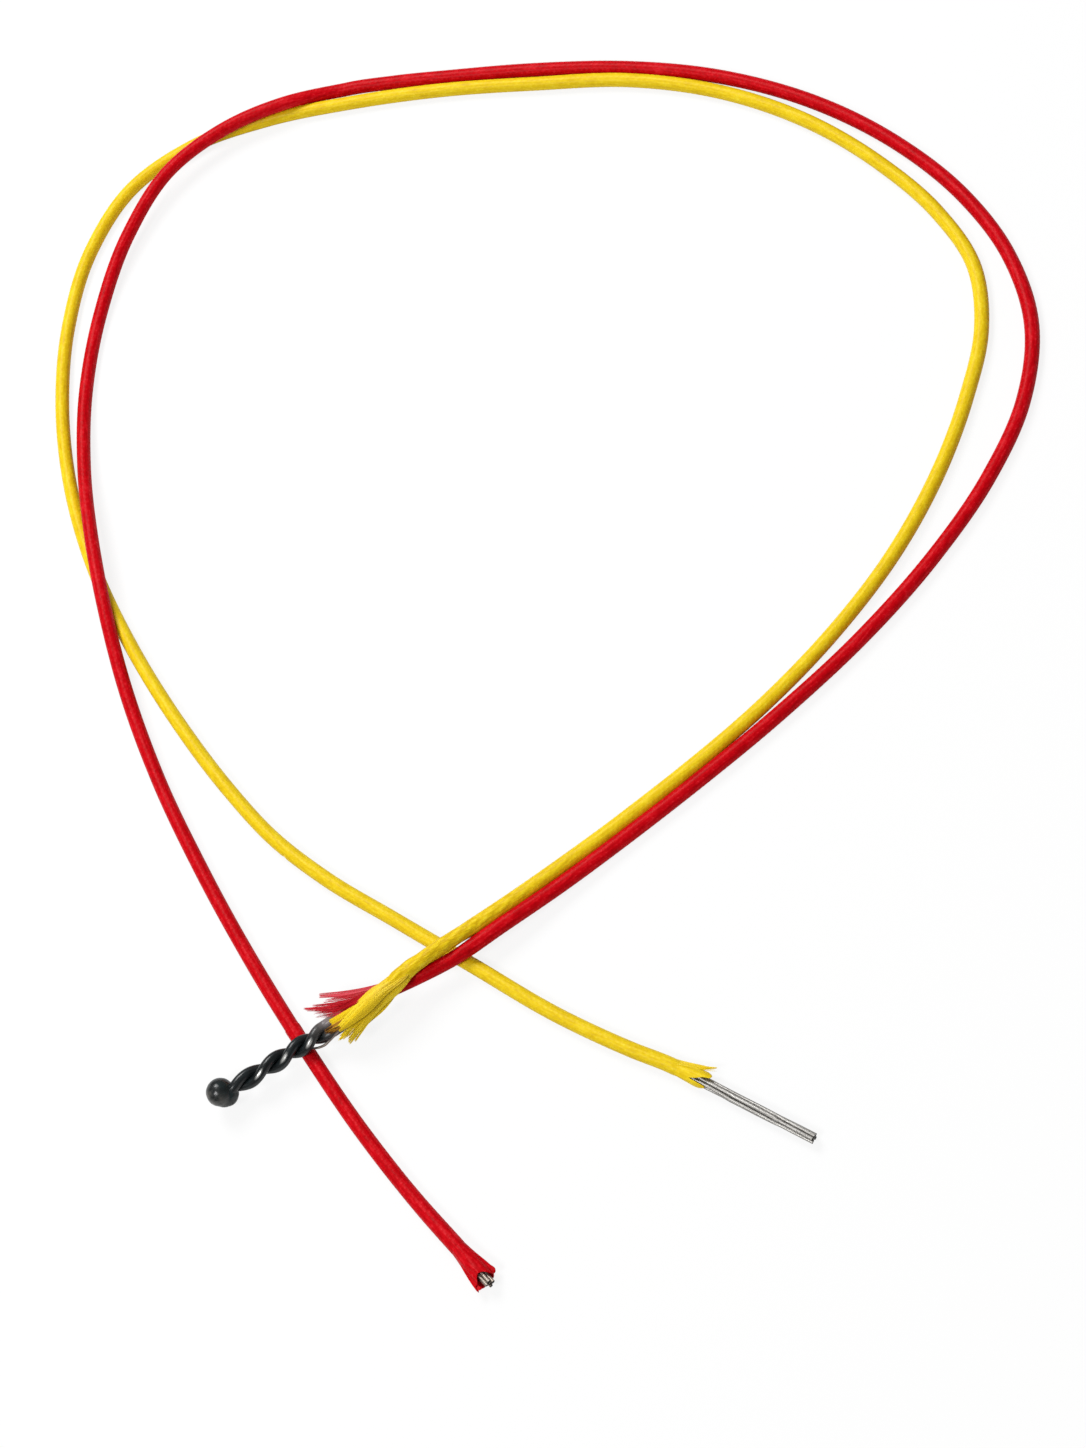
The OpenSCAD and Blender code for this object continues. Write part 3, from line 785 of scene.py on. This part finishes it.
# %% Scorched yarns at the mouth of the tuft
scorched_tuft = tuft("scorched_yarns", [
    dict(left=[(352, 1011, 3.2), (343, 1018, 3.1), (333, 1024.5, 2.9), (323.5, 1031.5, 2.6)],
         right=[(354, 1018, 3.1), (346, 1024.5, 2.95), (337, 1030.5, 2.8), (326, 1037, 2.5)],
         count=90, fray=0.3, wander=0.05, crown=0.15, tint=0.72, clumps=7, pale_tip=-0.4),
    dict(left=[(350, 1018, 3.35), (344, 1022, 3.2), (338, 1024.5, 3.05), (331, 1027, 2.9)],
         right=[(350, 1022, 3.35), (344, 1024.5, 3.2), (338.5, 1026.5, 3.05), (330, 1031, 2.85)],
         count=9, fray=0.3, wander=0.04, thick=0.045, tint=0.1)])

# %% [markdown]
# ## Yarn finish
# The same glass yarn as the braid, but opened into locks: each yarn carries its own tint, so that
# the locks show fine streaks along their length. Beside the hot wire the yarns are singed brown.

# %% Yarn finish
def yarn_finish(name, stops):
    finish, shader = new_finish(name)
    tint = put("Attribute", out=2, attribute_name="tint")
    fine = noise(object_coords(), 1500.0, 3.0)
    level = calc("ADD", tint, scaled(fine, 0.24, -0.12))
    fill(shader, {"Base Color": ramp(level, stops),
                  "Roughness": scaled(fine, 0.2, 0.32),
                  "Specular IOR Level": 0.18})
    return finish


yellow_yarn = yarn_finish("yellow_yarn_finish", [(0.05, "B48C08"), (0.3, "D2B00E"), (0.55, "DEBF14"),
                                                 (1.0, "EAD43A")])
red_yarn = yarn_finish("red_yarn_finish", [(0.1, "780008"), (0.5, "B00012"), (1.0, "D44A58")])
singed_yarn = yarn_finish("singed_yarn_finish", [(0.15, "1E130A"), (0.4, "5C3A12"), (0.6, "B07A18"),
                                                 (0.85, "DDB02A")])
dress(yellow_tuft, yellow_yarn)
dress(scorched_tuft, singed_yarn)

# %% [markdown]
# ## The frayed red end
# The red braid opens below the yellow one and fans out to the left, thin and see-through where
# its yarns end singly.

# %% Frayed red end
red_tuft = tuft("red_frayed_yarns", [
    dict(left=[(394, 979, 2.2), (377.5, 984.3, 2.6), (362, 988, 2.8), (345, 990.8, 2.8), (318.7, 993.5, 2.6)],
         right=[(392, 985, 2.4), (376, 990, 2.8), (360, 994, 2.9), (343, 996.6, 2.8), (318.7, 998, 2.6)],
         count=24, fray=0.03, wander=0.012, thick=0.026, tint=0.75),
    dict(left=[(392, 983, 2.4), (376, 988, 2.8), (358, 992.5, 2.9), (340, 996.5, 2.8), (322, 1000, 2.5)],
         right=[(390, 990, 2.5), (372, 996, 2.9), (352, 1001, 2.9), (334, 1004, 2.6), (314, 1006, 2.3)],
         count=44, fray=0.3, wander=0.05, thick=0.03, taper=0.7, tint=0.45, clumps=5, pale_tip=0.4),
    dict(left=[(390, 986, 2.5), (368, 994, 3.0), (350, 999, 3.0), (330, 1003, 2.6), (312, 1005.5, 2.2)],
         right=[(386, 996, 2.8), (366, 1002, 3.5), (352, 1006, 3.4), (334, 1011, 2.7), (306, 1011, 2.0)],
         count=60, fray=0.26, wander=0.06, taper=0.7, tint=0.3, clumps=6, pale_tip=0.45),
    dict(left=[(370, 996, 3.0), (345, 1003, 2.9), (325, 1006.5, 2.5), (303.5, 1008, 2.1)],
         right=[(368, 1000, 3.0), (345, 1006, 2.9), (325, 1009, 2.5), (303.8, 1010, 2.1)],
         count=12, fray=0.05, wander=0.01, thick=0.028, taper=0.4, tint=0.6),
    dict(left=[(388, 991, 2.7), (366, 999, 3.2), (348, 1004, 3.0), (330, 1008, 2.4), (306, 1012.5, 1.9)],
         right=[(384, 1000, 3.2), (366, 1001.5, 3.75), (353, 1008.5, 3.45), (341, 1015, 3.05),
                (327, 1018, 2.6)],
         count=84, fray=0.3, wander=0.06, taper=0.7, tint=0.35, clumps=8, pale_tip=0.4),
    dict(left=[(386, 987, 3.2), (372, 989.5, 3.4), (359, 995, 3.3), (346, 1002, 3.0), (333, 1008, 2.6)],
         right=[(384, 994, 3.4), (370, 998, 3.8), (357, 1003.5, 3.7), (346, 1009.5, 3.4), (335, 1015, 3.0)],
         count=46, fray=0.3, wander=0.03, tint=0.4, taper=0.7, clumps=4),
    dict(left=[(384, 990, 2.2), (362, 1001, 2.1), (340, 1009, 1.9), (318, 1013.5, 1.7), (301, 1017, 1.6)],
         right=[(382, 998, 2.0), (362, 1007, 1.9), (346, 1013, 1.8), (332, 1017, 1.7), (316, 1019, 1.6)],
         count=26, fray=0.3, wander=0.06, thick=0.02, taper=0.6, tint=0.6, clumps=5)])
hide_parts("red_frayed_end")
dress(red_tuft, red_yarn)

# %% [markdown]
# ## Stripped strands
# Stripping a lead bares its seven strands: one in the middle and six laid round it with a slight
# turn. Their cut ends are dark. The strands are drawn one by one, because each strays a little.

# %% Bare strands
STRAND_R, STRAND_PITCH = 0.16, 0.33
STRAND_INSIDE = 0.8         # mm of a strand that lie hidden in its lead
RISE = 0.9                  # mm in which a risen strand comes up, and goes down again


def end_frame(points):
    """Seat, heading, side and upper direction at a route's last point."""
    seat = np.array(points[-1], float) + (0, 0, BENCH)
    out = unit(seat - np.array(points[-2]) - (0, 0, BENCH))
    side = unit(np.cross((0, 0, 1), out))
    return seat, out, side, np.cross(out, side)


def laid_strands(sign, points, lengths, lay, risen=None):
    """Seven strands, laid so many degrees a mm.

    Where two places are named as risen, the middle strand comes up between its neighbours from
    the one to the other, and they make way for it.
    """
    seat, out, side, over = end_frame(points)
    made = []
    for number, length in enumerate(lengths, 1):
        s = np.linspace(-STRAND_INSIDE, length, 60)
        turn = np.radians(60 * number + lay * s)
        stray = 1 + 0.04 * np.sin(s * 0.9 + number * 2.1)
        across, above = STRAND_PITCH * stray * np.cos(turn), STRAND_PITCH * stray * np.sin(turn)
        if number == 1:
            across, above = 0 * s, 0 * s
        if risen:
            lift = ease(s, risen[0], risen[0] + RISE) * (1 - ease(s, risen[1] - RISE, risen[1]))
            if number == 1:
                across, above = across + 0.03 * lift, above + 0.36 * lift
            elif number in (2, 3):
                across = across + (0.05 if np.cos(turn[0]) > 0 else -0.05) * lift
        line = seat + s[:, None] * out + across[:, None] * side + above[:, None] * over
        strand = wires(f"{sign}_bare_strand_{number}", [(line, [STRAND_R] * len(s))], roundness=5)
        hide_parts(f"{sign}_strand_{number}")
        made.append(strand)
    return made


bright_strands = laid_strands("positive", YELLOW_POINTS, [13, 13.05, 12.95, 13, 12.95, 13, 12.95], lay=4.0,
                              risen=(4.2, 10.2))
dull_strands = laid_strands("negative", RED_POINTS, [3.5, 3.5, 3.3, 3.6, 3.5, 3.6, 3.4], lay=4.6)

# %% [markdown]
# ## The strands' finish
# Wire that was pulled through a die has fine lines along it. The noise for them is turned to the
# strands' heading and stretched along it. One lead's wire is brighter than the other's, and the cut
# faces, which are found by their normals, get a dark, rough metal.

# %% Steel finish
def steel_finish(name, dark, pale, heading):
    finish, shader = new_finish(name)
    coords = object_coords()
    turned = put("VectorRotate", {"Vector": coords, "Angle": -heading}, rotation_type="Z_AXIS")
    lines = noise(put("Mapping", {0: turned, 3: (250.0, 5000.0, 5000.0)}), 1.0)
    cloud = noise(coords, 500.0, 3.0)
    level = scaled(lines, 0.6, times(cloud, 0.4))
    fill(shader, {"Base Color": ramp(level, [(0.3, dark), (0.7, pale)]),
                  "Roughness": scaled(cloud, 0.2, 0.32),
                  "Metallic": 0.85})
    return finish


cut_face, shader = new_finish("cut_strand_face")
grit = noise(object_coords(), 9000.0)
fill(shader, {"Base Color": ramp(grit, [(0.35, "1C1C1C"), (0.7, "4A4845")]),
              "Metallic": 1.0, "Roughness": 0.5})

for strands, points, slot, dark, pale in (
        (bright_strands, YELLOW_POINTS, "bright_strand", "84817D", "B2B0AC"),
        (dull_strands, RED_POINTS, "dull_strand", "8F8378", "CCC2B6")):
    out = end_frame(points)[1]
    steel = steel_finish(f"{slot}_finish", dark, pale, math.atan2(out[1], out[0]))
    for strand in strands:
        dress(strand, steel)
        strand.data.materials.append(cut_face)
        for face in strand.data.polygons:
            face.material_index = int(face.normal.dot(Vector(out)) > 0.8)

# %% [markdown]
# ## The open sleeve ends
# The yellow sleeve is slit up both sides into two rounded flaps. The red one flares like a trumpet,
# creased, with one torn tip. Both are drawn as an open tube, a circle extruded ring by ring along
# Z. Its rings are then stretched so that the rim follows a measured outline round the tube, and a
# Solidify modifier gives the cloth its thickness.

# %% Open tube
OPEN_SIDES = 96


def open_tube(name, points, run_before, rings, wall, shape):
    """shape(angle in degrees, share of the length) gives side, over and along, in millimetres."""
    deselect()
    bpy.ops.mesh.primitive_circle_add(vertices=OPEN_SIDES, radius=1, location=(0, 0, 0))
    piece = bpy.context.object
    piece.name = piece.data.name = name
    bpy.ops.object.mode_set(mode="EDIT")
    bpy.ops.mesh.select_all(action="SELECT")
    for _ in range(rings):
        bpy.ops.mesh.extrude_region_move(TRANSFORM_OT_translate={"value": (0, 0, 1 / rings)})
    bpy.ops.object.mode_set(mode="OBJECT")
    seat, out, side, over = end_frame(points)
    angles, runs = [], []
    for corner in piece.data.vertices:
        angle, share = math.degrees(math.atan2(corner.co.y, corner.co.x)), corner.co.z
        a, b, c = shape(angle, share)
        corner.co = seat + a * side + b * over + c * out
        angles.append(angle)
        runs.append(c)
    chart = piece.data.uv_layers.new(name="braid")
    for face in piece.data.polygons:
        turns = [angles[v] for v in face.vertices]
        on_seam = max(turns) - min(turns) > 180
        for loop, vertex in zip(face.loop_indices, face.vertices):
            turn = angles[vertex] + (360 if on_seam and angles[vertex] < 0 else 0)
            chart.data[loop].uv = ((run_before + runs[vertex]) / BRAID_PERIOD,
                                   (180 - turn) * BRAID_YARNS / 360)
    face_outwards()
    cloth = piece.modifiers.new("cloth", "SOLIDIFY")
    cloth.thickness = wall
    cloth.offset = -1
    cloth.use_even_offset = True
    round_off = piece.modifiers.new("round_off", "SUBSURF")
    round_off.levels = round_off.render_levels = 1
    bpy.ops.object.modifier_apply(modifier="cloth")
    bpy.ops.object.modifier_apply(modifier="round_off")
    bpy.ops.object.shade_smooth()
    to_metres(piece)
    return piece

# %% [markdown]
# The rim's length is given for angles round the tube, 90 degrees being the top, with deep dips
# where the slits are. The flaps' distances from the middle are given along it. A strip of loose
# yarns lies across one slit.

# %% Split yellow end
SPLIT_RIM = [(-180, 2.2), (-150, 1.9), (-120, 1.6), (-100, 0.9), (-85, 1.0), (-60, 1.5), (-30, 1.9),
             (0, 2.2), (13, 2.35), (25, 2.7), (40, 2.86), (55, 2.88), (65, 2.79), (76, 2.25), (90, 1.9),
             (105, 1.5), (116, 1.12), (121, 1.05), (125, 1.6), (128, 2.45), (135, 2.65), (150, 2.65),
             (165, 2.45), (180, 2.2)]
UPPER_FLAP = [(-0.5, 0.61), (0, 0.655), (0.5, 0.72), (1.2, 0.83), (2.3, 0.93), (2.9, 0.9)]
LOWER_FLAP = [(-0.5, 0.61), (0, 0.655), (0.8, 0.69), (1.6, 0.7), (2.7, 0.6)]
SPLIT_INSIDE = 0.5          # mm of the tube that lie round the lead
BENCH_BELOW = -0.78         # the bench, in mm from the middle of the lead's end


def split_shape(angle, share):
    along = -SPLIT_INSIDE + share * (np.interp(angle, *zip(*SPLIT_RIM)) + SPLIT_INSIDE)
    upper = np.interp(angle, [-60, -20, 75, 120], [0, 1, 1, 0])
    r = upper * np.interp(along, *zip(*UPPER_FLAP)) + (1 - upper) * np.interp(along, *zip(*LOWER_FLAP))
    r += 0.015 * math.sin(math.radians(5 * angle) + 3 * share)
    return r * math.cos(math.radians(angle)), max(r * math.sin(math.radians(angle)), BENCH_BELOW), along


split_end = open_tube("yellow_split_flaps", YELLOW_POINTS, yellow_length, 16, 0.08, split_shape)
strip = tuft("yellow_loose_strip", [
    dict(left=[(668, 1056.5, 0.9), (679, 1060, 0.95), (688, 1062.3, 1.0), (700, 1065, 1.0),
               (708, 1066.6, 1.0), (717, 1067.6, 1.05)],
         right=[(675, 1064, 1.4), (682, 1065.4, 1.4), (690, 1067, 1.35), (700, 1069.2, 1.2),
                (708, 1069.4, 1.1), (717, 1069.2, 1.0)],
         count=34, fray=0.5, wander=0.015, thick=0.03, tint=0.6),
    dict(left=[(688, 1066, 1.2), (697, 1068.6, 1.15), (706, 1070, 1.05), (717, 1071, 1.0)],
         right=[(689, 1066.5, 1.2), (698, 1069.2, 1.15), (706, 1070.5, 1.05), (716, 1072, 1.0)],
         count=2, thick=0.016, tint=0.9)])
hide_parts("yellow_split_end")
dress(split_end, yellow_braid)
dress(strip, yellow_yarn)

# %% [markdown]
# The red mouth is pressed flat at both sides, so that its two walls meet there as lips, and only
# its middle stands open round the strands.

# %% Flared red end
FLARE_RIM = [(-180, 3.2), (-165, 3.35), (-150, 3.2), (-135, 3.3), (-120, 3.2), (-105, 3.05), (-90, 3.05),
             (-60, 3.1), (-30, 3.0), (0, 2.8), (20, 3.05), (38, 3.15), (50, 3.05), (62, 2.75), (75, 2.5),
             (95, 2.4), (110, 2.5), (125, 2.75), (140, 2.85), (150, 2.8), (160, 3.1), (170, 3.4),
             (175, 3.1), (180, 3.2)]
FLARE_INSIDE = 1.5          # mm of the tube that lie round the lead
LIP = 0.1                   # half the lips' distance, in mm


def flare_shape(angle, share):
    along = -FLARE_INSIDE + share * (np.interp(angle, *zip(*FLARE_RIM)) + FLARE_INSIDE)
    grow = ease(along, -0.6, 3.4) ** 0.8
    turn = math.radians(angle)
    root = np.interp(along, [-1.5, -1.0, -0.4, 0.4], [0.62, 0.7, 0.755, 0.74])
    a = (root + (1.2 - root) * grow) * math.cos(turn) - 0.04 * grow
    open_part = math.sqrt(max(1 - (a / (0.68 + 0.14 * grow)) ** 2, 0))
    pinched = math.copysign(max((0.66 + 0.2 * grow) * open_part, LIP), math.sin(turn))
    b = (1 - grow) * root * math.sin(turn) + grow * pinched
    if b > 0:
        off = a - np.interp(along, [-0.9, 0.35, 2.0], [-0.34, -0.58, -0.1])
        fold = 0.06 * math.exp(-(off / 0.16) ** 2) - 0.06 * math.exp(-((off + 0.3) / 0.18) ** 2)
        b += ease(along, -1.2, 0.2) * (fold + 0.02 * math.sin(7 * turn - 4 * share))
    return a, max(b, -0.9 - 0.045 * along), along


flared_end = open_tube("red_flared_mouth", RED_POINTS, red_length, 22, 0.1, flare_shape)
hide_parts("red_flared_end")
dress(flared_end, red_braid)

# %% [markdown]
# ## The bench and the light
# A plain white bench that shows white to the camera and still takes the leads' soft shadow, a soft
# key lamp from the picture's upper left, a smaller one from the left that puts the glints on the
# twisted wires, and an even white room.

# %% Bench
BENCH_GLOW = 0.86           # share of plain white in what the camera sees of the bench
WHITE = (1, 1, 1, 1)

deselect()
bpy.ops.mesh.primitive_plane_add(size=3, location=(0.05, 0.04, BENCH * MM))
bench = bpy.context.object
bench.name = "bench"
paper, shader = new_finish("bench_paper")
fill(shader, {"Base Color": (0.8, 0.8, 0.8, 1), "Roughness": 0.9})
glow = put("Emission", {0: WHITE, 1: 1.0})
path = put("LightPath").node.outputs
seen = times(path["Is Camera Ray"], BENCH_GLOW)
mix = put("MixShader", {0: seen, 1: shader.outputs[0], 2: glow})
tree.links.new(mix, tree.nodes["Material Output"].inputs[0])
bench.data.materials.append(paper)

# %% Lamps and room
LAMP_REACH = 0.5
ROOM_LIGHT = 0.3            # the room's strength as a lamp, where 1 is the white that the camera sees


def soft_lamp(name, direction, size, energy):
    place = CAMERA_AIM + direction.normalized() * LAMP_REACH
    bpy.ops.object.light_add(type="AREA", location=place)
    lamp = bpy.context.object
    lamp.name = name
    lamp.rotation_mode = "QUATERNION"
    lamp.rotation_quaternion = (CAMERA_AIM - place).to_track_quat("-Z", "Y")
    lamp.data.size = size
    lamp.data.energy = energy
    print(name, "at", tuple(round(v, 3) for v in place))


soft_lamp("key_lamp", BACK * 0.42 + UP * 0.72 - RIGHT * 0.5, size=0.2, energy=2.05)
soft_lamp("side_lamp", BACK * 0.79 - UP * 0.15 - RIGHT * 0.55, size=0.13, energy=1.15)

world = bpy.context.scene.world or bpy.data.worlds.new("room")
bpy.context.scene.world = world
world.use_nodes = True
tree = world.node_tree
tree.nodes.clear()
path = put("LightPath").node.outputs
seen = calc("MAXIMUM", path["Is Camera Ray"], path["Is Transmission Ray"])
strength = scaled(seen, 1 - ROOM_LIGHT, ROOM_LIGHT)
room = put("Background", {0: WHITE, 1: strength})
tree.links.new(room, tree.nodes.new("ShaderNodeOutputWorld").inputs[0])
bpy.context.scene.view_settings.view_transform = "Standard"

# %% Ride: every piece is attached to the root body
for piece in (yellow_lead, red_lead, bead, loose_wire, *legs, yellow_tuft, scorched_tuft, red_tuft, strip,
              split_end, flared_end, *bright_strands, *dull_strands):
    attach(piece, "root")
